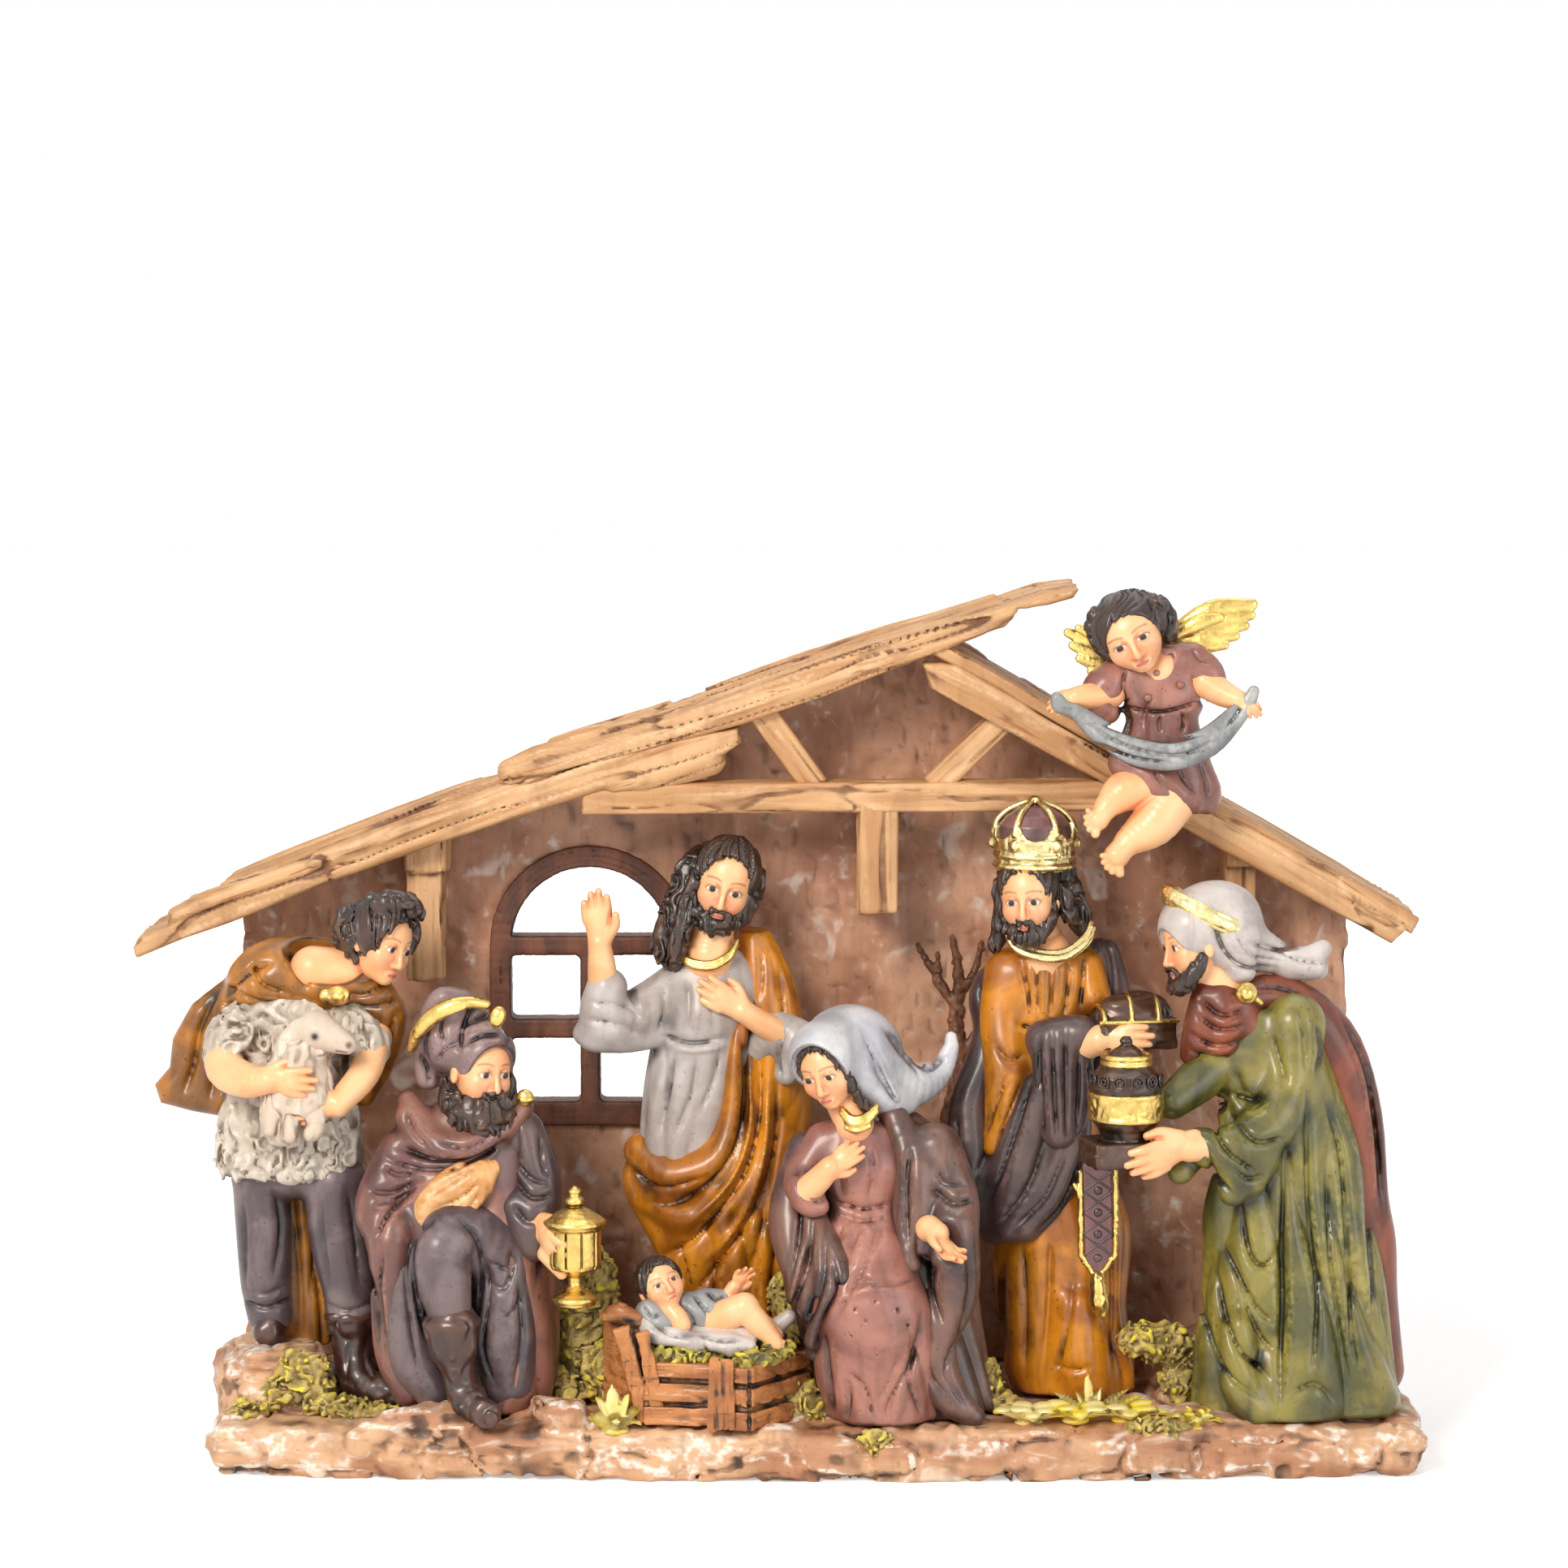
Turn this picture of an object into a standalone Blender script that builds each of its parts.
"""Nativity stable: a cast and painted resin group on one rock base.

X runs along the stable, -Y is the side it is seen from and +Z is up. The origin is under the
middle of the roof span, on the surface that the base stands on. Shapes are written in
millimetres, each figure from the point on the ground under it, and are turned into metres
when they are made. Pieces that touch keep a narrow gap, cut by their neighbour's own shape.
"""

import math

import bmesh
import bpy
from mathutils import Euler, Matrix, Vector

MM = 0.001

# Driving sizes, in millimetres
CLEARANCE = 0.35
GROUND = 9.0
BASE_LEFT = -97.0
BASE_RIGHT = 111.0
BASE_HALF_DEPTH = 33.0
BASE_BOW = 4.0
CREVICES = (-68.0, -48.0, -29.0, 15.0, 40.0, 73.5)
CREVICE_DEPTH = 1.8
WALL_FRONT = 22.0
WALL_THICKNESS = 6.0
ROOF_FRONT = 1.5
ROOF_BACK = 31.0
ROOF_HALF_SPAN = 112.0
EAVE_LEFT = 17.0
EAVE_RIGHT = 10.0
WALL_LEFT = EAVE_LEFT - ROOF_HALF_SPAN
WALL_RIGHT = ROOF_HALF_SPAN - EAVE_RIGHT
BEAM_FRONT = 3.0
BEAM_DEPTH = 6.0
WINDOW_X = -33.0
WINDOW_SILL = 43.0
WINDOW_SPRING = 75.5
WINDOW_HALF_WIDTH = 17.9
WINDOW_RIM = 3.9
SILL_HEIGHT = 4.6
WINDOW_PROUD = 1.6
MUNTIN = 3.6
CRIB_BOARD = 1.8
SMALL_BALL = 5.5

# Feet of the groups, as x and y on the ground
SHEPHERD = (-82.0, -6.0)
KNEELING = (-54.0, -14.0)
JOSEPH = (-12.0, 7.0)
MARY = (18.0, -17.0)
MANGER = (-10.0, -22.0)
STANDING = (50.0, 0.0)
GREEN = (84.0, -15.0)
ANGEL = (ROOF_HALF_SPAN * 0.5714, -5.0)
STABLE = (0.0, 0.0)

# Paint of each kind of surface: colour, roughness, metallic
PAINTS = {
    "rock": ((0.52, 0.34, 0.22), 0.55, 0.0),
    "plaster": ((0.42, 0.27, 0.20), 0.6, 0.0),
    "wood": ((0.60, 0.38, 0.19), 0.5, 0.0),
    "dark_wood": ((0.12, 0.05, 0.03), 0.4, 0.0),
    "crib_wood": ((0.36, 0.17, 0.07), 0.5, 0.0),
    "skin": ((0.80, 0.50, 0.33), 0.4, 0.0),
    "hair": ((0.06, 0.035, 0.025), 0.35, 0.0),
    "ochre": ((0.34, 0.16, 0.03), 0.35, 0.0),
    "grey": ((0.38, 0.37, 0.38), 0.4, 0.0),
    "mauve": ((0.19, 0.10, 0.10), 0.35, 0.0),
    "dark_mauve": ((0.10, 0.065, 0.075), 0.35, 0.0),
    "green": ((0.12, 0.14, 0.05), 0.35, 0.0),
    "rust": ((0.20, 0.08, 0.05), 0.4, 0.0),
    "fleece": ((0.50, 0.50, 0.49), 0.6, 0.0),
    "gold": ((0.80, 0.62, 0.20), 0.25, 1.0),
    "bronze": ((0.07, 0.04, 0.03), 0.35, 0.3),
    "straw": ((0.45, 0.40, 0.12), 0.7, 0.0),
    "leaf": ((0.55, 0.50, 0.05), 0.5, 0.0),
}


def remove(obj):
    mesh = obj.data
    bpy.data.objects.remove(obj)
    bpy.data.meshes.remove(mesh)


def mesh_object(bm):
    """Makes a closed object of triangles with its faces pointing out."""
    bmesh.ops.recalc_face_normals(bm, faces=bm.faces)
    bmesh.ops.triangulate(bm, faces=bm.faces)
    mesh = bpy.data.meshes.new("shape")
    bm.to_mesh(mesh)
    bm.free()
    obj = bpy.data.objects.new("shape", mesh)
    bpy.context.scene.collection.objects.link(obj)
    return obj


def is_closed(mesh):
    bm = bmesh.new()
    bm.from_mesh(mesh)
    whole = len(bm.faces) > 3 and all(edge.is_manifold for edge in bm.edges)
    bm.free()
    return whole


def boolean(obj, tool, operation):
    """Joins the tool to the object, or cuts it away, and removes the tool."""
    step = obj.modifiers.new("step", "BOOLEAN")
    step.operation = operation
    step.use_self = True
    step.object = tool
    for solver in ("EXACT", "MANIFOLD"):
        step.solver = solver
        graph = bpy.context.evaluated_depsgraph_get()
        result = bpy.data.meshes.new_from_object(obj.evaluated_get(graph))
        if is_closed(result):
            break
        bpy.data.meshes.remove(result)
    obj.modifiers.remove(step)
    before = obj.data
    obj.data = result
    bpy.data.meshes.remove(before)
    remove(tool)


def loft(rings):
    """Skins closed rings of equal length, with a flat cap on each end."""
    bm = bmesh.new()
    rows = [[bm.verts.new(Vector(point) * MM) for point in ring] for ring in rings]
    for low, high in zip(rows, rows[1:]):
        for i, vert in enumerate(low):
            following = (i + 1) % len(low)
            bm.faces.new((vert, low[following], high[following], high[i]))
    bm.faces.new(rows[0])
    bm.faces.new(rows[-1])
    return mesh_object(bm)


def ball(centre, radii, turn=(0, 0, 0)):
    """An ellipsoid. The turn is in degrees about X, Y and Z."""
    def make(grow):
        bm = bmesh.new()
        small = max(radii) < SMALL_BALL
        around, down = (8, 5) if small else (10, 7)
        bmesh.ops.create_uvsphere(bm, u_segments=around, v_segments=down, radius=1.0)
        scale = Matrix.Diagonal([(radius + grow) * MM for radius in radii] + [1.0])
        spin = Euler([math.radians(angle) for angle in turn]).to_matrix().to_4x4()
        place = Matrix.Translation(Vector(centre) * MM)
        bm.transform(place @ spin @ scale)
        return mesh_object(bm)
    return make


def tube(points, sides=6):
    """A limb or a fold: round rings along a path of x, y, z, radius, with rounded ends."""
    def make(grow):
        path = [Vector(point[:3]) for point in points]
        radii = [point[3] + grow for point in points]
        first = (path[1] - path[0]).normalized()
        last = (path[-1] - path[-2]).normalized()
        path = [path[0] - first * radii[0] * 0.7] + path + [path[-1] + last * radii[-1] * 0.7]
        radii = [radii[0] * 0.55] + radii + [radii[-1] * 0.55]
        normal = first.orthogonal().normalized()
        rings = []
        for i, centre in enumerate(path):
            ahead = path[min(i + 1, len(path) - 1)]
            behind = path[max(i - 1, 0)]
            along = (ahead - behind).normalized()
            normal = (normal - along * normal.dot(along)).normalized()
            side = along.cross(normal)
            angles = [2 * math.pi * k / sides for k in range(sides)]
            rings.append([
                centre + (normal * math.cos(a) + side * math.sin(a)) * radii[i] for a in angles
            ])
        return loft(rings)
    return make


def robe(rings, folds=0, depth=0.0, sides=14):
    """Cloth hanging in level rings of z, x, y, radius in x, radius in y, from the hem up."""
    def make(grow):
        low, high = rings[0][0], rings[-1][0]
        levels = []
        for z, x, y, rx, ry in rings:
            level = z + grow * (z == high) - grow * (z == low)
            fade = depth * (high - z) / (high - low)
            level_ring = []
            for k in range(sides):
                a = 2 * math.pi * k / sides
                wave = 1 + fade * math.cos(folds * a + z * 0.05)
                level_ring.append((
                    x + (rx * wave + grow) * math.cos(a),
                    y + (ry * wave + grow) * math.sin(a),
                    level,
                ))
            levels.append(level_ring)
        return loft(levels)
    return make


def head(centre, half_width, half_height, pitch=0, roll=0, yaw=0):
    """A head with a plain face. The nose ends halfway from the eyes, at mid height, to the chin.

    Pitch looks down, roll leans to the left and yaw turns to the right, in degrees.
    """
    turn = (pitch, roll, yaw)
    spin = Euler([math.radians(angle) for angle in turn]).to_matrix()

    def at(x, y, z):
        offset = Vector((x * half_width, y * half_width, z * half_height))
        return tuple(Vector(centre) + spin @ offset)

    skull = (half_width, 1.12 * half_width, 0.84 * half_height)
    jaw = (0.74 * half_width, 0.82 * half_width, 0.5 * half_height)
    return [
        ball(at(0, 0.06, 0.16), skull, turn),
        ball(at(0, -0.24, -0.48), jaw, turn),
        tube([(*at(0, -0.98, 0.06), 0.1 * half_width), (*at(0, -1.18, -0.3), 0.17 * half_width)]),
    ]


def turned(x, y, profile, sides=12):
    """A turned piece from pairs of height and radius, from its foot up."""
    return robe([(z, x, y, radius, radius) for z, radius in profile], sides=sides)


def slab(outline, front, back):
    """A board with a drawn outline of x and z points, from one depth to another."""
    def make(grow):
        sign = 1 if turns_left(outline) else -1
        points = []
        for i, corner in enumerate(outline):
            before = Vector(corner) - Vector(outline[i - 1])
            after = Vector(outline[(i + 1) % len(outline)]) - Vector(corner)
            across = before.normalized() + after.normalized()
            out = Vector((across.y, -across.x)).normalized()
            lean = max(0.5, out.dot(Vector((before.y, -before.x)).normalized()))
            points.append(Vector(corner) + out * grow * sign / lean)
        rings = []
        for y in (front - grow, back + grow):
            rings.append([(point.x, y, point.y) for point in points])
        return loft(rings)
    return make


def turns_left(outline):
    area = 0.0
    for i, (x, z) in enumerate(outline):
        next_x, next_z = outline[(i + 1) % len(outline)]
        area += x * next_z - next_x * z
    return area > 0


def block(centre, size, turn=(0, 0, 0)):
    """A box with its full size. The turn is in degrees about X, Y and Z."""
    def make(grow):
        bm = bmesh.new()
        bmesh.ops.create_cube(bm, size=1.0)
        scale = Matrix.Diagonal([(side + 2 * grow) * MM for side in size] + [1.0])
        spin = Euler([math.radians(angle) for angle in turn]).to_matrix().to_4x4()
        bm.transform(Matrix.Translation(Vector(centre) * MM) @ spin @ scale)
        return mesh_object(bm)
    return make


def beam(start, end, width, front, depth):
    """A straight timber between two x and z points."""
    a, b = Vector(start), Vector(end)
    along = (b - a).normalized()
    across = Vector((-along.y, along.x)) * width / 2
    outline = [tuple(a - across), tuple(b - across), tuple(b + across), tuple(a + across)]
    return slab(outline, front, front + depth)


def plank(start, end, low, high, thickness):
    """An upright board between two x and y points."""
    a, b = Vector(start), Vector(end)
    along = b - a
    middle = (a + b) / 2
    turn = math.degrees(math.atan2(along.y, along.x))
    centre = (middle.x, middle.y, (low + high) / 2)
    return block(centre, (along.length, thickness, high - low), (0, 0, turn))


def without(shape, *cuts):
    """A shape with openings cut through it."""
    def make(grow):
        obj = shape(grow)
        for cut in cuts:
            boolean(obj, cut(-grow), "DIFFERENCE")
        return obj
    return make


def base_outline(inset):
    """The plinth's edge: a long rounded shape that bows forward, notched between its stones."""
    half = (BASE_RIGHT - BASE_LEFT) / 2 - inset
    middle = (BASE_RIGHT + BASE_LEFT) / 2
    points = []
    for steps, side in ((34, -1), (12, 1)):
        for k in range(steps):
            t = side * math.sin(math.pi * (k / steps - 0.5)) * -1
            x = middle + half * t
            depth = BASE_HALF_DEPTH - inset
            if side < 0:
                notch = max(0.0, 1 - min(abs(x - crevice) for crevice in CREVICES) / 3.5)
                depth -= BASE_BOW * t * t + CREVICE_DEPTH * notch
            points.append((x, side * depth * (1 - abs(t) ** 9) ** (1 / 9)))
    return points


def plinth(grow):
    """The rock plinth, widest at mid height, with a flat underside."""
    levels = ((0.0, 1.6), (1.8, 0.0), (0.7 * GROUND, 0.0), (GROUND, 2.4))
    return loft([[(x, y, z) for x, y in base_outline(inset)] for z, inset in levels])


def arch(half_width, low, front, back, steps=12):
    """A round-headed opening or frame, as a slab. Its head is round the window's centre."""
    rise = max(0.0, low - WINDOW_SPRING)
    start = math.asin(rise / half_width)
    outline = []
    if rise == 0.0:
        outline = [(WINDOW_X - half_width, low), (WINDOW_X + half_width, low)]
    for k in range(steps + 1):
        a = start + (math.pi - 2 * start) * k / steps
        x = WINDOW_X + half_width * math.cos(a)
        outline.append((x, WINDOW_SPRING + half_width * math.sin(a)))
    return slab(outline, front, back)


def light(left, right, low, high):
    """One square opening of the window."""
    outline = [(left, low), (right, low), (right, high), (left, high)]
    return slab(outline, WALL_FRONT - 9, WALL_FRONT + WALL_THICKNESS + 9)


def window():
    """The window frame: an arched light over two rows of two square ones."""
    inner = WINDOW_HALF_WIDTH - WINDOW_RIM
    left, right = WINDOW_X - inner, WINDOW_X + inner
    bar_left = WINDOW_X - MUNTIN / 2
    bar_right = WINDOW_X + MUNTIN / 2
    low = WINDOW_SILL + SILL_HEIGHT
    top = WINDOW_SPRING + MUNTIN / 2 - MUNTIN
    row = (top - low - MUNTIN) / 2
    cuts = [arch(inner, top + MUNTIN, WALL_FRONT - 9, WALL_FRONT + WALL_THICKNESS + 9)]
    for bottom in (low, low + row + MUNTIN):
        cuts.append(light(left, bar_left, bottom, bottom + row))
        cuts.append(light(bar_right, right, bottom, bottom + row))
    rim = arch(WINDOW_HALF_WIDTH, WINDOW_SILL, WALL_FRONT - WINDOW_PROUD,
               WALL_FRONT + WALL_THICKNESS - 1.5)
    return without(rim, *cuts)


def across(share):
    """The x of a place under the roof, from its percentage of the half span."""
    return ROOF_HALF_SPAN * share / 100


def under_roof(points):
    """An outline whose x is a percentage of the half span. Its z is above the ground."""
    return [(across(share), z) for share, z in points]


# Undersides and tops of the roof boards
LEFT_UNDER = [(-99.55, 75.5), (-84.82, 82.0), (-54.46, 95.3), (-39.29, 100.8), (-26.79, 105.3),
              (-8.04, 111.6)]
LEFT_TOP = [(-5.36, 116.0), (-18.75, 113.0), (-29.46, 109.8), (-41.96, 105.8), (-54.46, 101.3),
            (-84.82, 88.0), (-100, 79.2)]
UPPER_UNDER = [(-41.07, 106.4), (-4.73, 116.6), (20.54, 127.0), (32.14, 132.2), (36.61, 134.8)]
UPPER_TOP = [(39.29, 137.4), (46.43, 138.0), (46.88, 140.2), (34.55, 136.9), (25.89, 133.9),
             (14.82, 130.4), (-2.23, 123.6), (-15.18, 118.4), (-31.25, 112.8), (-42.41, 108.3)]
RIGHT_EDGE = [(25, 131.5), (100, 82.6), (98.75, 80.4), (24.11, 129.1)]
RAFTER_EDGE = [(22.77, 127.2), (28.13, 126.9), (97.86, 81.2), (95.71, 78.4), (24.11, 122.8)]

# Split edges that stand along the tops of the left boards
SPLIT_RADIUS = 2.4
SPLIT_PROUD = 0.9
SPLIT_DEPTHS = (7.0, 15.5, 24.0)


def splits(top):
    """Long splits along a board's top, from its x and z points."""
    sunk = SPLIT_RADIUS - SPLIT_PROUD
    return [tube([(across(share), y, z - sunk, SPLIT_RADIUS) for share, z in top])
            for y in SPLIT_DEPTHS]


def wall():
    """The back wall, cut by the roof above it and the window in it."""
    gable = [(26.79, 131.0), (17.86, 127.5), (-5.36, 118.0), (-41.96, 105.5), (-54.46, 100.0)]
    outline = [
        (WALL_LEFT, 0.4), (WALL_RIGHT, 0.4), (WALL_RIGHT, 87.0), *under_roof(gable),
        (WALL_LEFT, 86.5),
    ]
    room = 1.5 * CLEARANCE
    opening = arch(WINDOW_HALF_WIDTH + room, WINDOW_SILL - room, WALL_FRONT - 9,
                   WALL_FRONT + WALL_THICKNESS + 9)
    return without(slab(outline, WALL_FRONT, WALL_FRONT + WALL_THICKNESS), opening)


def leaves(centre, count, length):
    """A rosette of pointed leaves lying out from one root."""
    x, y = centre
    shapes = [ball((x, y, 2.0), (3.4, 3.0, 1.8))]
    for k in range(count):
        a = 2 * math.pi * k / count + 0.3
        reach = length * (0.8 + 0.2 * math.cos(2 * a))
        shapes.append(tube([
            (x + 1.5 * math.cos(a), y + 1.2 * math.sin(a), 2.2, 1.0),
            (x + reach * 0.6 * math.cos(a), y + reach * 0.4 * math.sin(a), 4.4, 1.3),
            (x + reach * math.cos(a), y + reach * 0.62 * math.sin(a), 3.6, 0.6),
        ]))
    return shapes


# Every piece: name, group, paint and shapes. An earlier piece cuts every later one.
PARTS = [
    ("goblet", KNEELING, "gold", [
        turned(20.0, -10.0, [
            (18.4, 3.6), (19.6, 3.6), (20.6, 2.4), (21.4, 1.2), (23.2, 1.2), (24.2, 2.6),
            (25.0, 4.2), (31.6, 4.5), (32.2, 5.0), (33.4, 5.0), (34.6, 3.4), (36.0, 1.1),
            (37.4, 1.3), (38.4, 0.5),
        ]),
    ]),
    ("urn", GREEN, "bronze", [
        block((-26.2, -11.0, 45.9), (10.4, 10.4, 3.0), (0, 0, 14)),
        turned(-24.6, -11.0, [
            (47.0, 3.6), (49.0, 4.2), (51.0, 5.4), (53.0, 6.0), (55.6, 6.0), (57.0, 6.2),
            (59.4, 5.6), (61.2, 3.6), (62.2, 2.0), (63.4, 1.9), (64.8, 0.7),
        ]),
    ]),
    ("treasure_chest", STANDING, "bronze", [
        block((11.4, -9.0, 64.4), (13.4, 7.6, 5.2), (0, 0, 12)),
        ball((11.4, -9.0, 67.2), (6.9, 4.0, 3.8), (0, 0, 12)),
    ]),
    ("sash", STANDING, "dark_mauve", [
        block((5.6, -10.2, 31.4), (5.4, 1.6, 20.4), (0, -3, 4)),
        tube([(5.9, -10.2, 22.0, 1.8), (6.0, -10.2, 18.4, 1.6), (6.0, -10.2, 16.2, 0.8)]),
    ]),
    ("crown", STANDING, "gold", [
        turned(-5.2, -0.6, [
            (91.0, 6.3), (92.2, 6.7), (93.6, 6.5), (96.6, 6.9), (99.4, 6.2), (101.2, 3.6),
            (102.2, 1.2), (103.2, 0.7),
        ]),
    ]),
    ("lamb", SHEPHERD, "fleece", [
        tube([(-3.0, -10.0, 50.0, 4.0), (-1.4, -10.4, 56.0, 5.0), (1.2, -11.0, 62.5, 4.8)]),
        ball((5.4, -12.4, 65.4), (3.9, 3.2, 3.3), (0, 20, 0)),
        tube([(6.4, -13.2, 64.6, 2.4), (9.6, -14.4, 63.0, 1.5)]),
        tube([(-1.0, -12.2, 51.6, 1.8), (3.0, -13.6, 48.6, 1.4)]),
    ]),
    ("infant", MANGER, "skin", [
        *head((-9.6, -0.4, 22.8), 3.8, 4.3, pitch=-35, roll=-35, yaw=20),
        tube([(-6.6, -0.6, 20.0, 2.6), (-2.6, -0.8, 17.6, 3.3), (3.0, -1.0, 16.6, 3.1),
              (7.6, -2.0, 14.8, 2.4), (11.4, -3.0, 12.6, 1.4)]),
        tube([(-1.0, 0.8, 18.6, 1.7), (2.2, 2.0, 20.0, 1.4), (4.2, 2.6, 21.6, 1.2)]),
    ]),
    ("swaddling_cloth", MANGER, "grey", [
        robe([(13.4, -0.8, 0.2, 10.4, 5.6), (15.4, -0.8, 0.4, 12.4, 6.6),
              (17.4, -0.8, 0.8, 11.8, 6.0), (18.6, -1.4, 1.2, 8.6, 4.0)], folds=7, depth=0.06),
    ]),
    ("straw_bed", MANGER, "straw", [
        robe([(4.0, -1.4, 0.2, 10.4, 5.0), (9.4, -1.4, 0.2, 12.6, 6.4),
              (13.0, -1.4, 0.4, 13.0, 6.6), (14.6, -1.4, 0.6, 11.0, 5.4)], folds=9, depth=0.05),
    ]),
    ("crib_left_end", MANGER, "crib_wood", [
        plank((-19.0, 2.6), (-12.4, -7.0), 0.4, 15.6, CRIB_BOARD),
        block((-15.9, -2.4, 15.4), (10.6, 2.4, 3.2), (0, 0, -55)),
        plank((-19.0, 2.6), (-8.0, 7.6), 0.4, 14.0, CRIB_BOARD),
    ]),
    ("crib_front", MANGER, "crib_wood", [
        plank((-12.2, -7.4), (1.0, -9.2), 0.6, 11.6, CRIB_BOARD),
        block((-5.6, -9.4, 3.4), (12.4, 0.9, 2.4), (0, 0, -7.8)),
        block((-5.6, -9.4, 9.4), (12.4, 0.9, 2.4), (0, 0, -7.8)),
    ]),
    ("crib_right", MANGER, "crib_wood", [
        block((1.9, -10.0, 6.2), (3.0, 2.0, 11.8)),
        plank((2.4, -9.2), (15.0, 4.0), 0.6, 10.4, CRIB_BOARD),
        plank((15.0, 4.0), (-4.0, 8.2), 0.6, 10.4, CRIB_BOARD),
    ]),
    ("leaf_rosette", (54.0, -25.0), "leaf", leaves((0.0, 0.0), 7, 13.0)),
    ("joseph_raised_hand", JOSEPH, "skin", [
        tube([(-17.6, -8.0, 68.0, 2.5), (-18.0, -8.8, 74.0, 2.4), (-18.3, -9.4, 78.4, 2.7),
              (-18.7, -9.8, 82.6, 3.2), (-19.2, -10.0, 86.0, 2.6), (-19.5, -10.2, 88.0, 1.6)]),
    ]),
    ("joseph_head", JOSEPH, "skin", [
        *head((2.4, -2.8, 88.6), 4.9, 7.2, pitch=12, yaw=8),
        tube([(1.4, -1.4, 84.0, 3.1), (0.6, -0.8, 78.0, 3.3), (0.5, -0.8, 74.6, 4.2)]),
    ]),
    ("joseph_hair", JOSEPH, "hair", [
        ball((1.3, 0.4, 90.2), (7.6, 6.8, 7.3)),
        tube([(-4.6, -0.6, 87.0, 3.2), (-6.3, -1.4, 81.0, 2.8), (-6.9, -2.2, 75.0, 2.4),
              (-6.4, -2.4, 73.0, 1.6)]),
        tube([(6.4, -0.2, 88.0, 3.2), (7.4, -0.2, 83.0, 2.4), (7.0, -0.6, 80.2, 1.4)]),
        tube([(-3.6, -2.6, 86.4, 1.8), (-1.4, -6.6, 83.6, 1.9), (1.8, -8.0, 82.4, 2.4),
              (5.0, -6.0, 84.2, 1.8), (6.6, -2.4, 86.4, 1.8)]),
    ]),
    ("joseph_robe", JOSEPH, "grey", [
        robe([(37.0, -5.4, -3.4, 4.4, 3.6), (42.0, -4.4, -2.6, 7.4, 5.2),
              (52.0, -2.6, -1.2, 8.4, 6.0), (62.0, -1.0, -0.6, 8.6, 6.2),
              (70.0, 0.4, 0.0, 8.2, 5.6), (74.0, 0.6, 0.0, 6.2, 4.6), (76.0, 0.6, 0.0, 3.6, 3.2)],
             folds=5, depth=0.05),
        tube([(-4.6, -0.6, 69.6, 4.4), (-11.0, -4.6, 65.4, 4.6), (-17.6, -7.6, 63.2, 4.0)]),
        tube([(-18.6, -8.0, 62.8, 3.4), (-18.0, -8.2, 66.0, 3.6), (-17.6, -8.2, 69.6, 3.4)]),
        tube([(4.0, -1.6, 58.6, 3.4), (10.0, -2.8, 59.4, 4.6), (14.6, -3.8, 61.0, 4.0)]),
    ]),
    ("joseph_mantle", JOSEPH, "ochre", [
        robe([(0.4, 4.0, -0.4, 8.4, 7.0), (16.0, 3.6, -0.6, 10.0, 7.4),
              (27.0, 3.6, -0.4, 14.6, 8.4), (38.0, 1.8, 0.4, 16.6, 9.0),
              (44.0, 5.4, 1.0, 13.4, 8.4), (52.0, 9.8, 1.6, 8.6, 7.6),
              (64.0, 10.4, 2.4, 6.4, 6.4), (73.0, 9.6, 2.8, 4.6, 4.8), (77.4, 8.8, 3.0, 2.6, 3.0)],
             folds=7, depth=0.09),
    ]),
    ("mary_head", MARY, "skin", [
        *head((-8.0, -3.2, 58.8), 4.9, 6.8, pitch=20, roll=-12, yaw=-28),
        tube([(-6.6, -1.6, 54.6, 2.9), (-4.8, -1.2, 50.6, 3.2)]),
    ]),
    ("mary_raised_palm", MARY, "skin", [
        tube([(8.0, -9.6, 33.6, 2.4), (9.4, -11.0, 32.6, 2.4), (11.4, -12.6, 30.2, 2.6),
              (13.2, -14.0, 27.6, 1.6)]),
    ]),
    ("mary_veil", MARY, "grey", [
        ball((-3.8, 1.2, 61.2), (10.0, 8.4, 8.4), (0, 20, 0)),
        tube([(-11.0, -0.6, 64.0, 3.0), (-13.0, -1.6, 60.0, 1.8)]),
        tube([(2.0, 4.0, 56.0, 5.6), (8.6, 6.4, 56.4, 3.4), (12.4, 7.6, 60.4, 1.4)]),
        tube([(1.0, 3.0, 56.0, 5.0), (4.6, 3.6, 52.0, 3.6)]),
    ]),
    ("mary_dress", MARY, "mauve", [
        robe([(0.4, 0.6, -3.0, 10.4, 10.6), (9.0, 0.2, -4.0, 10.2, 10.8),
              (20.0, -2.4, -5.4, 10.4, 10.4), (27.0, -3.4, -4.0, 9.8, 9.4),
              (35.0, -3.2, -1.0, 6.6, 5.6), (43.0, -3.4, -0.8, 8.6, 6.2),
              (48.0, -3.8, -0.2, 7.4, 5.2), (50.6, -4.2, -0.6, 4.2, 3.8)], folds=6, depth=0.07),
        tube([(-9.6, -1.0, 46.4, 3.8), (-14.0, -4.0, 38.6, 4.0), (-10.6, -8.4, 40.4, 3.0),
              (-7.2, -10.2, 45.4, 2.4), (-5.6, -10.4, 48.4, 1.4)]),
    ]),
    ("mary_cloak", MARY, "dark_mauve", [
        robe([(0.4, 5.2, 0.6, 14.6, 9.6), (10.0, 2.6, 2.0, 15.4, 9.6),
              (22.0, 0.0, 3.2, 16.6, 9.4), (34.0, 1.0, 4.0, 15.4, 8.4),
              (42.0, 0.8, 4.0, 13.6, 7.0), (48.0, 0.6, 4.0, 9.4, 5.4), (51.0, 0.6, 4.0, 5.6, 3.6)],
             folds=8, depth=0.09),
        tube([(9.4, -1.6, 46.0, 4.4), (12.4, -4.4, 38.0, 4.2), (12.4, -7.2, 32.4, 4.2),
              (12.6, -6.0, 22.0, 4.6), (9.8, -7.0, 13.0, 3.8), (11.6, -7.4, 5.0, 3.0)]),
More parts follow.
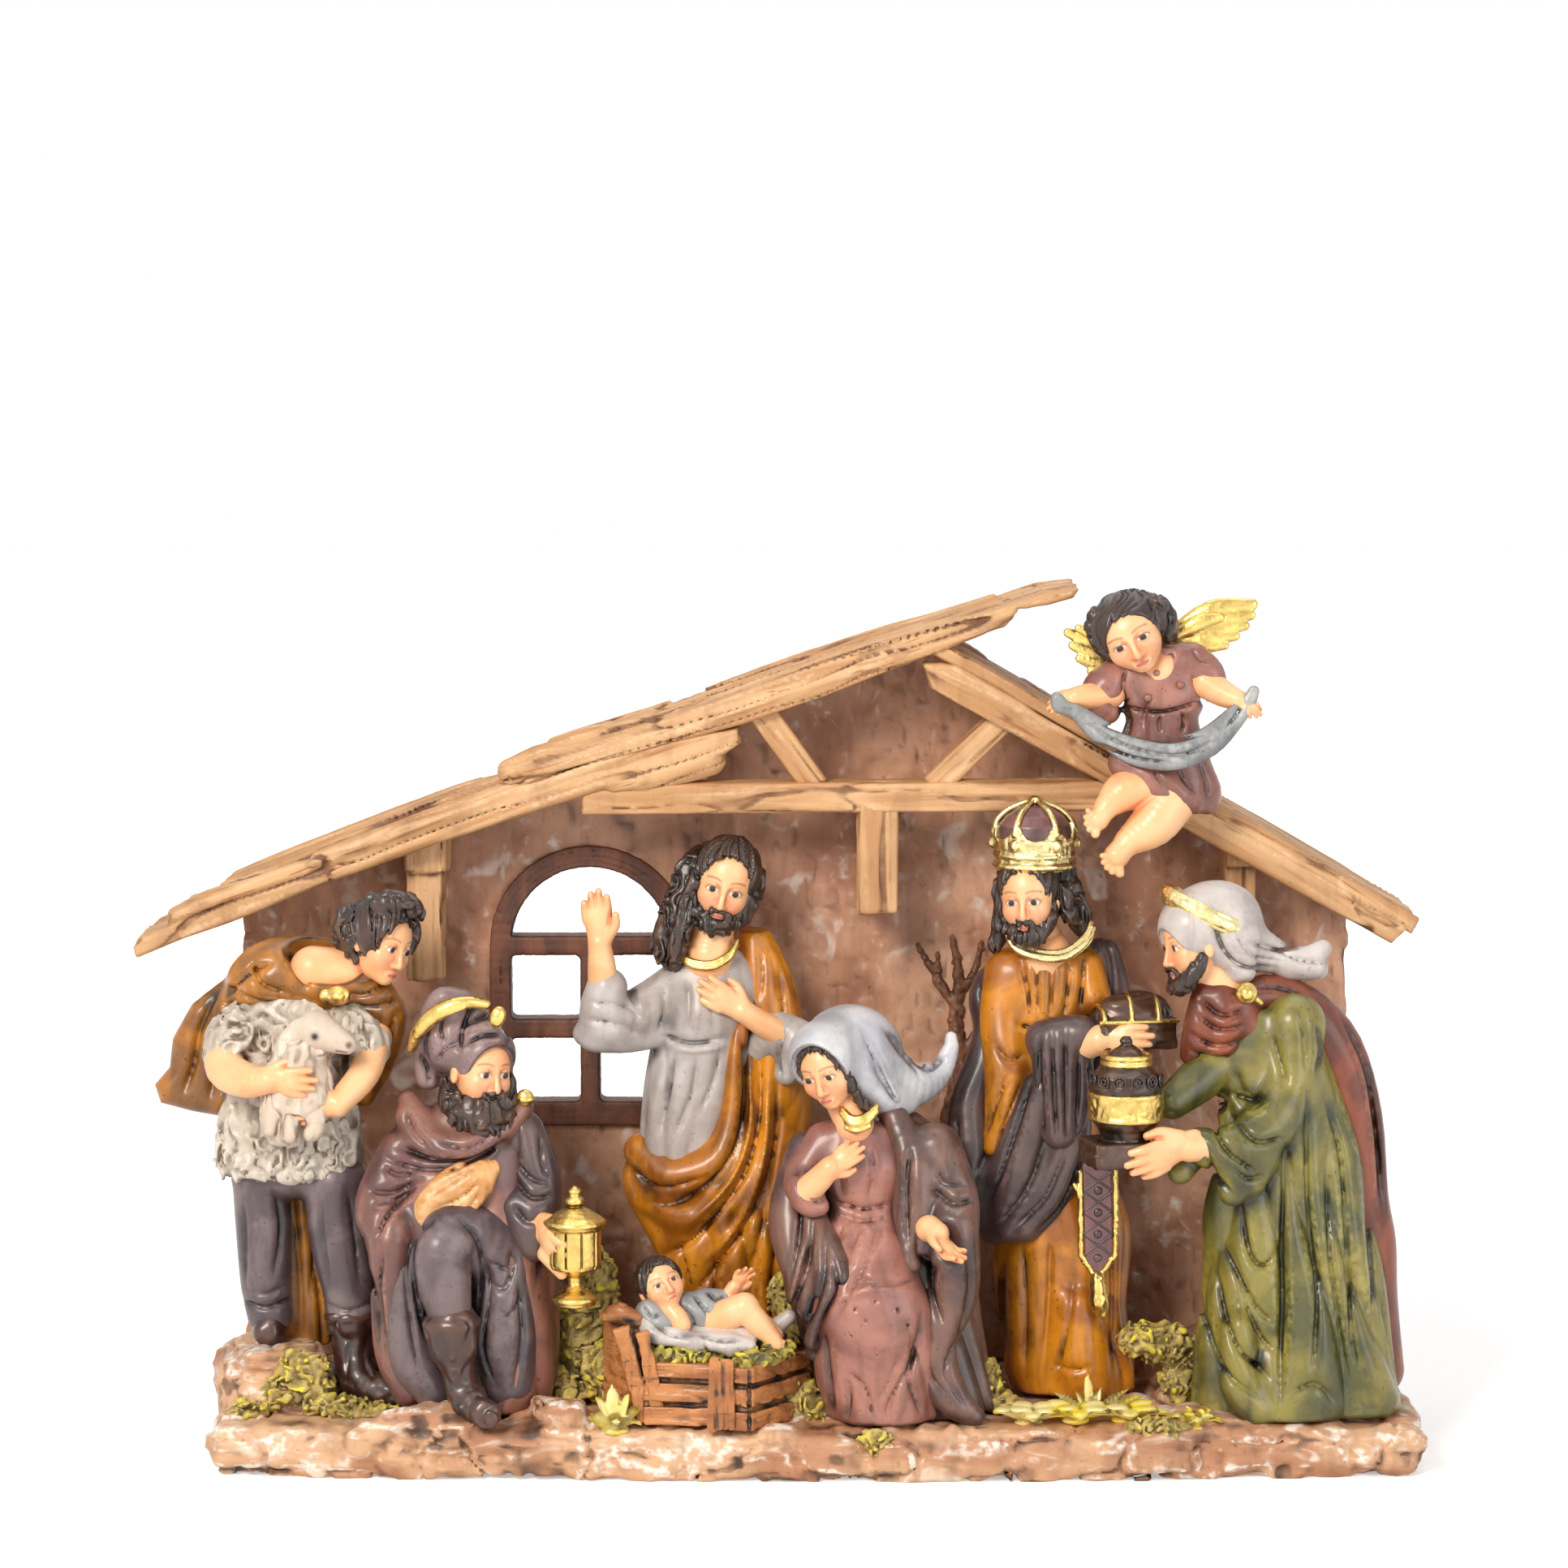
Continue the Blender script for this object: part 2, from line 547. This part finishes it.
        tube([(2.4, -1.0, 50.0, 2.6), (5.4, -3.4, 43.0, 3.8), (5.6, -5.0, 35.0, 3.6)]),
    ]),
    ("kneeling_head", KNEELING, "skin", [
        *head((3.8, -3.2, 59.2), 5.0, 6.8, pitch=4, roll=4, yaw=36),
        tube([(3.0, -1.0, 55.0, 3.4), (2.0, 0.0, 50.6, 3.6)]),
    ]),
    ("turban", KNEELING, "dark_mauve", [
        ball((-0.2, 0.8, 64.2), (8.6, 7.8, 6.2), (0, 14, 0)),
        tube([(-5.6, 1.0, 63.0, 3.0), (-5.6, 1.4, 57.0, 2.4)]),
    ]),
    ("turban_band", KNEELING, "gold", [
        tube([(-8.0, -3.2, 63.0, 1.5), (-4.0, -6.8, 65.6, 1.6), (0.6, -8.0, 67.4, 1.7),
              (5.4, -6.6, 67.0, 1.6), (8.4, -3.4, 65.0, 1.4)]),
    ]),
    ("kneeling_beard", KNEELING, "hair", [
        ball((4.0, -5.0, 52.6), (5.7, 4.4, 5.0)),
        tube([(-2.0, -1.6, 57.0, 1.9), (0.0, -3.4, 53.4, 3.0)]),
        tube([(8.8, -1.8, 57.0, 1.6), (7.0, -3.4, 53.4, 2.6)]),
    ]),
    ("kneeling_robe", KNEELING, "mauve", [
        robe([(0.4, 3.4, 0.6, 12.4, 10.0), (5.0, 3.4, 0.4, 13.6, 11.0),
              (14.0, 1.6, 0.6, 15.4, 11.6), (26.0, 0.2, 0.2, 16.4, 11.2),
              (35.0, -1.6, 0.2, 15.4, 9.8), (44.0, 0.4, 0.0, 12.6, 8.2),
              (49.6, 1.4, 0.0, 9.0, 6.0), (52.0, 1.6, 0.0, 5.4, 4.6)], folds=7, depth=0.08),
        tube([(5.0, -4.0, 27.0, 6.6), (-2.4, -10.4, 33.4, 5.6), (-2.2, -12.6, 28.0, 5.4),
              (-1.6, -12.4, 18.0, 4.8), (-0.6, -12.4, 12.0, 3.8), (1.4, -13.4, 4.6, 3.4),
              (4.8, -16.6, 2.8, 2.3)]),
        tube([(11.2, -1.0, 46.4, 4.2), (13.2, -2.8, 38.0, 4.6), (13.4, -5.2, 31.0, 3.8),
              (15.2, -8.0, 28.0, 2.4)]),
        tube([(-9.6, -1.8, 44.6, 4.4), (-13.0, -4.4, 36.0, 4.6), (-11.4, -8.0, 30.0, 4.0),
              (-11.8, -7.4, 18.0, 3.2), (-10.6, -6.8, 7.0, 2.8)]),
    ]),
    ("standing_head", STANDING, "skin", [
        *head((-5.8, -2.6, 87.8), 4.8, 6.8, pitch=6, yaw=-16),
        tube([(-4.8, -1.2, 83.0, 3.1), (-3.4, -0.8, 78.0, 3.8), (-3.0, -1.0, 76.4, 4.4)]),
    ]),
    ("standing_hair", STANDING, "hair", [
        tube([(-9.6, -0.4, 90.0, 2.3), (-10.2, -0.4, 83.0, 2.2), (-9.4, -0.6, 78.0, 1.5)]),
        ball((-4.6, 1.6, 88.0), (7.4, 5.6, 6.8)),
        tube([(0.2, 0.0, 89.0, 3.2), (2.0, 0.6, 83.0, 3.4), (2.4, 0.4, 78.6, 2.0)]),
        tube([(-10.0, -2.4, 85.4, 1.5), (-8.2, -6.4, 82.8, 1.8), (-5.9, -7.6, 81.8, 2.2),
              (-3.4, -6.4, 82.8, 1.8), (-1.4, -2.4, 85.4, 1.6)]),
    ]),
    ("standing_robe", STANDING, "ochre", [
        robe([(0.4, 2.2, -0.4, 11.2, 8.8), (5.0, 1.4, -0.4, 11.8, 8.8),
              (15.0, -0.2, 0.0, 11.6, 8.6), (30.0, -0.4, 0.0, 12.8, 8.4),
              (45.0, -3.6, 0.0, 10.4, 7.4), (56.0, -3.8, 0.0, 9.0, 6.8),
              (66.0, -3.6, 0.0, 9.4, 6.6), (74.0, -3.0, 0.0, 9.4, 6.0), (77.6, -3.0, 0.2, 6.2, 4.6)],
             folds=7, depth=0.09),
        tube([(4.4, 0.0, 73.0, 3.6), (6.0, -3.6, 64.0, 3.8), (4.6, -9.0, 60.2, 3.2),
              (5.0, -13.4, 61.6, 2.3), (8.0, -15.2, 63.6, 2.2), (11.8, -15.2, 64.0, 1.3)]),
    ]),
    ("standing_drape", STANDING, "dark_mauve", [
        ball((-3.4, 3.8, 67.0), (12.6, 4.6, 9.0)),
        tube([(-12.6, 2.0, 71.0, 3.6), (-12.6, -2.4, 62.0, 3.6), (-12.2, -4.4, 53.0, 5.2),
              (-11.4, -4.4, 42.0, 7.0), (-10.6, -3.8, 31.0, 5.2)]),
        tube([(-9.0, -5.0, 42.0, 5.6), (-3.6, -6.4, 51.0, 5.4), (2.0, -8.0, 56.4, 4.2)]),
        tube([(7.6, 3.0, 73.0, 3.8), (8.0, 3.6, 66.0, 4.2), (6.0, 3.0, 58.0, 4.2)]),
    ]),
    ("green_head", GREEN, "skin", [
        *head((-12.8, -2.6, 80.6), 5.0, 6.8, pitch=8, roll=-6, yaw=-72),
        tube([(-10.6, -1.8, 76.0, 3.4), (-7.2, -1.2, 72.0, 3.8)]),
    ]),
    ("headscarf", GREEN, "grey", [
        ball((-9.8, -0.4, 83.4), (8.8, 6.8, 7.4), (0, -24, 0)),
        tube([(-4.0, 1.4, 80.0, 4.6), (3.0, 3.6, 77.4, 3.4), (9.6, 5.4, 75.4, 1.9)]),
        tube([(-8.4, -3.6, 77.0, 2.6), (-9.4, -5.4, 72.0, 1.8)]),
    ]),
    ("green_robe", GREEN, "green", [
        robe([(0.4, 5.6, -0.8, 17.2, 11.6), (10.0, 5.0, -0.8, 16.8, 11.2),
              (22.0, 4.6, -0.6, 16.0, 10.6), (34.0, 4.0, -0.2, 14.6, 9.6),
              (46.0, 3.6, 0.0, 12.4, 8.8), (57.0, 1.6, 0.0, 10.8, 7.8),
              (65.0, -0.4, 0.0, 9.2, 6.6), (69.6, -2.4, 0.0, 6.2, 5.0)], folds=9, depth=0.09),
        tube([(-2.0, -4.0, 60.0, 4.6), (-3.4, -8.6, 49.0, 4.6), (-8.6, -11.4, 44.2, 3.8),
              (-13.6, -12.2, 44.0, 3.8), (-15.6, -13.2, 43.6, 2.3), (-19.0, -14.6, 42.8, 2.1),
              (-23.4, -15.4, 42.4, 1.5)]),
    ]),
    ("green_cloak", GREEN, "rust", [
        tube([(-7.0, -3.6, 69.6, 3.4), (-1.0, 1.0, 70.6, 4.0), (6.0, 2.8, 67.6, 5.0),
              (12.4, 3.6, 60.0, 5.6), (16.4, 4.2, 48.0, 5.6), (18.0, 4.4, 32.0, 6.0),
              (18.6, 4.4, 16.0, 6.0), (19.4, 4.4, 5.0, 4.6)]),
    ]),
    ("shepherd_head", SHEPHERD, "skin", [
        *head((14.2, -3.4, 80.4), 4.9, 6.8, pitch=14, roll=10, yaw=52),
        tube([(10.8, -1.6, 76.4, 3.0), (7.0, -1.6, 72.4, 3.2)]),
    ]),
    ("shepherd_hair", SHEPHERD, "hair", [
        ball((13.2, -0.6, 82.8), (7.6, 6.6, 6.2), (0, 10, 0)),
        tube([(8.8, -1.4, 81.0, 3.2), (8.2, -2.0, 77.4, 2.4)]),
    ]),
    ("shepherd_arm", SHEPHERD, "skin", [
        tube([(-12.0, -3.4, 62.6, 3.2), (-10.8, -8.6, 56.6, 3.1), (-6.0, -14.0, 55.0, 2.4),
              (-0.4, -16.4, 56.4, 2.2), (3.2, -16.6, 56.6, 1.4)]),
    ]),
    ("shepherd_fleece", SHEPHERD, "fleece", [
        robe([(38.8, -2.2, -0.6, 12.2, 8.0), (42.0, -2.2, -0.6, 12.8, 8.4),
              (52.0, -2.0, -0.6, 11.8, 7.6), (62.0, -1.6, -0.6, 11.0, 7.2),
              (68.0, 0.0, -0.4, 8.0, 5.6)], folds=9, depth=0.05),
    ]),
    ("shepherd_cloak", SHEPHERD, "ochre", [
        ball((4.0, 0.4, 72.2), (12.8, 7.4, 7.0), (0, 14, 0)),
        tube([(-2.0, 1.6, 72.0, 7.0), (-12.0, 3.2, 63.0, 6.2), (-18.6, 3.4, 54.0, 4.6),
              (-21.0, 3.4, 51.0, 3.6)]),
        tube([(12.0, 0.8, 69.0, 4.6), (13.6, 1.4, 61.0, 3.8), (10.0, 2.4, 53.0, 3.0)]),
        robe([(8.0, -1.4, 6.6, 5.6, 3.4), (36.0, -1.2, 6.8, 7.0, 3.6), (50.0, -2.0, 7.0, 10.0, 3.8),
              (66.0, -1.0, 5.6, 10.0, 4.0)]),
    ]),
    ("shepherd_trousers", SHEPHERD, "dark_mauve", [
        ball((-2.2, 0.0, 39.0), (10.4, 6.2, 4.4)),
        tube([(-7.8, 0.6, 38.0, 5.6), (-9.8, 0.2, 25.6, 5.4), (-7.6, 1.0, 14.0, 4.8)]),
        tube([(4.6, -1.4, 38.0, 5.8), (5.0, -2.6, 26.0, 5.6), (8.0, -3.0, 13.0, 4.6),
              (7.4, -3.6, 5.0, 3.8), (9.4, -6.6, 3.0, 2.8), (12.6, -9.6, 2.6, 2.2)]),
    ]),
    ("angel_sash", ANGEL, "grey", [
        tube([(-14.0, -5.0, 120.6, 1.5), (-9.0, -6.4, 114.6, 2.2), (-3.0, -7.2, 111.4, 2.6),
              (3.6, -7.4, 110.8, 2.6), (10.6, -6.6, 113.0, 2.3), (17.0, -5.0, 120.4, 1.5)]),
    ]),
    ("angel_head", ANGEL, "skin", [
        *head((-3.4, -2.2, 132.0), 5.2, 6.0, pitch=16, roll=-14, yaw=-12),
        tube([(-1.6, -1.0, 128.6, 2.6), (0.4, -0.4, 126.6, 2.8)]),
    ]),
    ("angel_hair", ANGEL, "hair", [
        ball((-3.0, 0.2, 134.6), (7.4, 6.4, 6.4), (0, -6, 0)),
    ]),
    ("angel_dress", ANGEL, "mauve", [
        robe([(102.4, 5.0, 1.4, 4.8, 4.4), (106.0, 4.0, 1.4, 7.2, 5.4),
              (111.0, 2.4, 1.2, 8.6, 5.6), (117.6, 2.4, 0.2, 6.6, 4.2),
              (124.0, 2.2, 0.0, 8.0, 4.4), (128.0, 2.0, 0.2, 6.4, 3.6), (129.6, 1.6, 0.2, 3.8, 2.6)],
             folds=6, depth=0.06),
        tube([(-3.4, 0.0, 125.6, 3.4), (-7.6, -1.2, 123.6, 3.2), (-11.6, -3.4, 122.0, 1.9),
              (-14.6, -5.0, 121.2, 1.8)]),
        tube([(8.0, 0.0, 125.6, 3.4), (12.2, -1.2, 123.0, 3.0), (15.4, -3.4, 121.6, 1.9),
              (17.4, -4.6, 121.4, 1.6)]),
        tube([(-1.0, -1.8, 105.0, 3.6), (-5.8, -3.4, 102.8, 2.8), (-9.8, -4.4, 101.6, 1.6)]),
        tube([(3.0, -1.8, 103.4, 4.0), (0.6, -3.0, 99.4, 3.0), (-5.0, -4.6, 95.0, 2.0)]),
    ]),
    ("angel_wings", ANGEL, "gold", [
        tube([(-5.0, 3.6, 127.0, 1.8), (-9.6, 3.2, 128.0, 2.6), (-13.0, 2.8, 131.4, 1.6)]),
        tube([(-5.0, 3.6, 127.0, 1.8), (1.0, 4.0, 127.6, 1.2), (7.0, 3.6, 129.6, 1.8),
              (12.6, 3.4, 132.8, 2.8), (18.0, 3.2, 136.2, 1.7)]),
    ]),
    ("tie_beam", STABLE, "wood", [
        beam((across(-29.91), 103.4), (across(56.25), 104.0), 5.2, BEAM_FRONT, BEAM_DEPTH),
    ]),
    ("strut_left", STABLE, "wood", [
        beam((across(-3.04), 120.0), (across(6.25), 105.4), 4.6, BEAM_FRONT + 0.8,
             BEAM_DEPTH - 1.6),
    ]),
    ("strut_right", STABLE, "wood", [
        beam((across(36.61), 118.8), (across(24.46), 105.4), 4.6, BEAM_FRONT + 0.8,
             BEAM_DEPTH - 1.6),
    ]),
    ("centre_post", STABLE, "wood", [
        block((across(15.98), 12.4, 93.0), (7.0, 18.4, 19.4)),
    ]),
    ("roof_left_upper", STABLE, "wood", [
        slab(under_roof(UPPER_UNDER + UPPER_TOP), ROOF_FRONT, ROOF_BACK),
        *splits(UPPER_TOP[3:9]),
    ]),
    ("roof_left_lower", STABLE, "wood", [
        slab(under_roof(LEFT_UNDER + LEFT_TOP), ROOF_FRONT + 0.6, ROOF_BACK - 0.4),
        tube([(across(-25.0), 4.4, 106.6, 2.4), (across(-16.07), 4.4, 108.6, 2.8),
              (across(-10.18), 4.4, 110.0, 2.6)]),
        *splits(LEFT_TOP[2:6]),
    ]),
    ("roof_right", STABLE, "wood", [slab(under_roof(RIGHT_EDGE), ROOF_FRONT + 0.8, ROOF_BACK)]),
    ("rafter_right", STABLE, "wood", [
        slab(under_roof(RAFTER_EDGE), ROOF_FRONT, ROOF_FRONT + 7.0),
    ]),
    ("bracket_left", STABLE, "wood", [
        block((across(-54.64), 14.6, 93.4), (7.4, 14.0, 7.0)),
        block((across(-55.0), 15.4, 80.6), (6.6, 12.4, 19.6)),
    ]),
    ("bracket_right", STABLE, "wood", [
        block((across(73.13), 14.6, 93.8), (6.8, 14.0, 5.4)),
        block((across(72.77), 15.4, 84.6), (5.6, 12.4, 15.0)),
    ]),
    ("window_frame", STABLE, "dark_wood", [window()]),
    ("back_wall", STABLE, "plaster", [wall()]),
]


def mound(x, y, half_length, half_depth, height):
    """A rock or a moss heap that rises from the plinth."""
    shares = ((-3.0 / height, 1.0), (0.4, 0.86), (0.8, 0.55), (1.0, 0.25))
    return robe([(height * z, x, y, half_length * r, half_depth * r) for z, r in shares], sides=10)


MOUNDS = [
    mound(-86.0, 0.0, 11.0, 15.0, 9.6),
    mound(-84.6, -12.0, 8.6, 6.4, 12.2),
    mound(-76.0, -19.0, 8.0, 5.6, 2.6),
    mound(-32.0, 12.0, 8.0, 8.0, 15.0),
    mound(-33.0, -4.0, 6.6, 6.6, 22.0),
    mound(-31.4, -10.6, 5.6, 5.6, 10.4),
    mound(4.0, -20.4, 5.2, 4.0, 5.8),
    mound(31.0, 13.0, 6.0, 7.0, 8.0),
    mound(36.4, -14.0, 4.8, 5.0, 9.0),
    mound(65.4, -7.8, 8.8, 4.8, 14.0),
    mound(61.0, -12.4, 4.2, 4.4, 8.4),
    mound(70.0, 10.0, 7.0, 8.0, 10.0),
]


def boxes_meet(a, b):
    """Whether the bounding boxes of two objects cross."""
    for axis in range(3):
        lows = [min(vert.co[axis] for vert in obj.data.vertices) for obj in (a, b)]
        highs = [max(vert.co[axis] for vert in obj.data.vertices) for obj in (a, b)]
        if max(lows) >= min(highs):
            return False
    return True


def shift(obj, x, y, z):
    obj.data.transform(Matrix.Translation(Vector((x, y, z)) * MM))


def keep_largest(obj):
    """Drops the crumbs that a cut leaves beside the piece."""
    bm = bmesh.new()
    bm.from_mesh(obj.data)
    left = set(bm.faces)
    islands = []
    while left:
        waiting = [left.pop()]
        island = list(waiting)
        while waiting:
            for edge in waiting.pop().edges:
                for face in edge.link_faces:
                    if face in left:
                        left.discard(face)
                        island.append(face)
                        waiting.append(face)
        islands.append(island)
    islands.sort(key=lambda island: sum(face.calc_area() for face in island))
    crumbs = [face for island in islands[:-1] for face in island]
    bmesh.ops.delete(bm, geom=crumbs, context="FACES")
    bmesh.ops.dissolve_limit(bm, angle_limit=math.radians(0.8), verts=bm.verts, edges=bm.edges)
    bmesh.ops.triangulate(bm, faces=bm.faces)
    bm.to_mesh(obj.data)
    bm.free()


def paint(name):
    material = bpy.data.materials.get(name)
    if material is None:
        colour, roughness, metallic = PAINTS[name]
        material = bpy.data.materials.new(name)
        material.use_nodes = True
        shader = material.node_tree.nodes["Principled BSDF"]
        shader.inputs["Base Color"].default_value = (*colour, 1.0)
        shader.inputs["Roughness"].default_value = roughness
        shader.inputs["Metallic"].default_value = metallic
    return material


def finish(obj, name, paint_name, foot):
    """Names and paints a piece, and puts its origin at its group's foot."""
    keep_largest(obj)
    x, y = foot
    shift(obj, -x, -y, -GROUND)
    obj.location = Vector((x, y, GROUND)) * MM
    obj.name = name
    obj.data.name = name
    obj.data.materials.clear()
    obj.data.materials.append(paint(paint_name))
    obj.data.polygons.foreach_set("material_index", [0] * len(obj.data.polygons))


def solid(shapes, grow, foot):
    """Joins a piece's shapes and stands them at its group's foot."""
    obj = shapes[0](grow)
    for shape in shapes[1:]:
        boolean(obj, shape(grow), "UNION")
    shift(obj, *foot, GROUND)
    return obj


def cut_by(obj, cutters):
    for cutter in cutters:
        if boxes_meet(obj, cutter):
            tool = bpy.data.objects.new("tool", cutter.data.copy())
            bpy.context.scene.collection.objects.link(tool)
            boolean(obj, tool, "DIFFERENCE")


def main():
    for obj in list(bpy.data.objects):
        bpy.data.objects.remove(obj)
    cutters = []
    for name, foot, paint_name, shapes in PARTS:
        obj = solid(shapes, 0.0, foot)
        cut_by(obj, cutters)
        finish(obj, name, paint_name, foot)
        cutters.append(solid(shapes, CLEARANCE, foot))
    base = plinth(0.0)
    for rise in MOUNDS:
        boolean(base, solid([rise], 0.0, STABLE), "UNION")
    cut_by(base, cutters)
    finish(base, "base_plinth", "rock", STABLE)
    for cutter in cutters:
        remove(cutter)


main()
